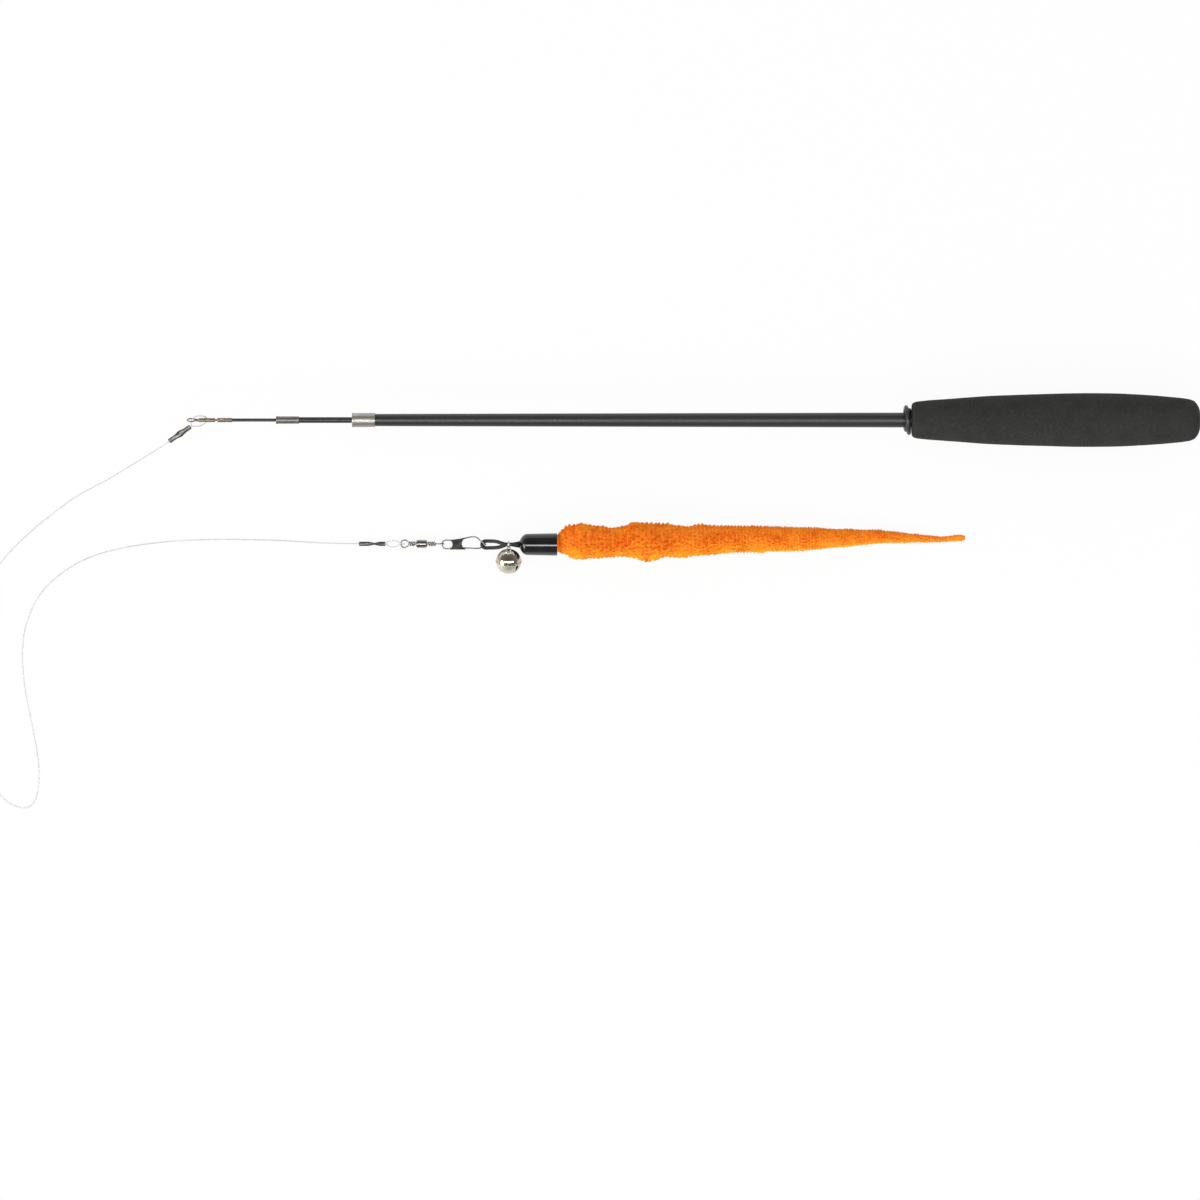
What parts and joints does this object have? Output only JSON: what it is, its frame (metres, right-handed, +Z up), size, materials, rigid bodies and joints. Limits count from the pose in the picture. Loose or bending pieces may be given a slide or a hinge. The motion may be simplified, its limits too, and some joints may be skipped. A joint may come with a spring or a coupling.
{
  "type": "telescoping cat teaser wand",
  "caption": "Telescoping cat wand with a foam grip, a clear line on a turning tip eye, and a lure of swivel, snap, bell and plush worm.",
  "frame": {"origin": "centre of the footprint of the wand and lure, without the line and its crimps, on the surface they lie on", "axes": "+X along the wand from its tip to its butt, +Y from the lure to the wand, +Z up"},
  "size_m": [0.4674, 0.1559, 0.0203],
  "materials": {
    "foam": "matte closed-cell foam",
    "keeper_rubber": "satin",
    "tube_black": "clear-coated fibreglass tube",
    "plug_plastic": "matte",
    "stop_plastic": "matte",
    "ferrule_nickel": "satin",
    "ferrule_dark": "satin",
    "tip_metal": "aged, satin",
    "line_clear": "clear",
    "crimp_metal": "dark plated, satin",
    "swivel_metal": "polished",
    "snap_steel": "polished",
    "snap_dark": "satin",
    "cord_black": "woven, satin",
    "bell_nickel": "bright",
    "bell_wire": "bright",
    "pellet_steel": "plain",
    "cap_black": "gloss",
    "filling": "matte",
    "plush_orange": "fuzzy"
  },
  "bodies": {
    "handle": {"grip_foam": "foam", "keeper_ring_rear": "keeper_rubber", "keeper_ring_front": "keeper_rubber", "outer_tube": "tube_black", "outer_ferrule": "ferrule_nickel", "tube_plug": "plug_plastic"},
    "middle_section": {"middle_tube": "tube_black", "middle_stop": "stop_plastic", "middle_ferrule": "ferrule_dark"},
    "tip_section": {"tip_rod": "tube_black", "tip_stop": "stop_plastic", "tip_sleeve": "tip_metal", "tip_pin": "tip_metal"},
    "tip_turner": {"tip_barrel": "tip_metal"},
    "line": {"tip_eye": "tip_metal", "line_loop_tip": "line_clear", "crimp_tip": "crimp_metal", "line_main": "line_clear", "crimp_lure": "crimp_metal", "line_loop_lure": "line_clear", "swivel_line_eye": "swivel_metal"},
    "swivel": {"swivel_barrel": "swivel_metal"},
    "lure": {"swivel_snap_eye": "swivel_metal", "snap_wire": "snap_steel", "snap_plate": "snap_dark", "lure_cord": "cord_black", "cord_knot": "cord_black", "bell_link": "bell_wire", "end_cap": "cap_black", "worm_filling": "filling", "worm_plush": "plush_orange"},
    "gate": {"snap_gate": "snap_steel"},
    "bell": {"bell_shank": "bell_wire", "bell_crown": "bell_nickel", "bell_bowl": "bell_nickel"},
    "pellet": {"bell_pellet": "pellet_steel"}
  },
  "joints": [
    {"name": "middle_slide", "type": "slide", "parent": "handle", "child": "middle_section", "axis": [-1, 0, 0], "range_m": [0, 0.28]},
    {"name": "tip_slide", "type": "slide", "parent": "middle_section", "child": "tip_section", "axis": [-1, 0, 0], "range_m": [0, 0.3]},
    {"name": "tip_barrel_spin", "type": "hinge", "parent": "tip_section", "child": "tip_turner", "pos_m": [-0.182, 0.0237, 0.01015], "axis": [-1, 0, 0], "continuous": true},
    {"name": "tip_eye_spin", "type": "hinge", "parent": "tip_section", "child": "line", "pos_m": [-0.185, 0.0237, 0.01015], "axis": [-1, 0, 0], "continuous": true},
    {"name": "swivel_barrel_spin", "type": "hinge", "parent": "line", "child": "swivel", "pos_m": [-0.104, -0.02266, 0.00175], "axis": [1, 0, 0], "continuous": true},
    {"name": "swivel_snap_spin", "type": "hinge", "parent": "line", "child": "lure", "pos_m": [-0.1, -0.02266, 0.00175], "axis": [1, 0, 0], "continuous": true},
    {"name": "snap_gate_open", "type": "hinge", "parent": "lure", "child": "gate", "pos_m": [-0.0799, -0.02154, 0.0025], "axis": [0, 0, -1], "range_deg": [0, 28], "stiffness_Nm_per_rad": 0.0005},
    {"name": "bell_swing", "type": "hinge", "parent": "lure", "child": "bell", "pos_m": [-0.06931, -0.02282, 0.00747], "axis": [-1, 0, 0], "range_deg": [-5, 80]},
    {"name": "pellet_rattle", "type": "slide", "parent": "bell", "child": "pellet", "axis": [0, 0, 1], "range_m": [0, 0.0059]}
  ]
}
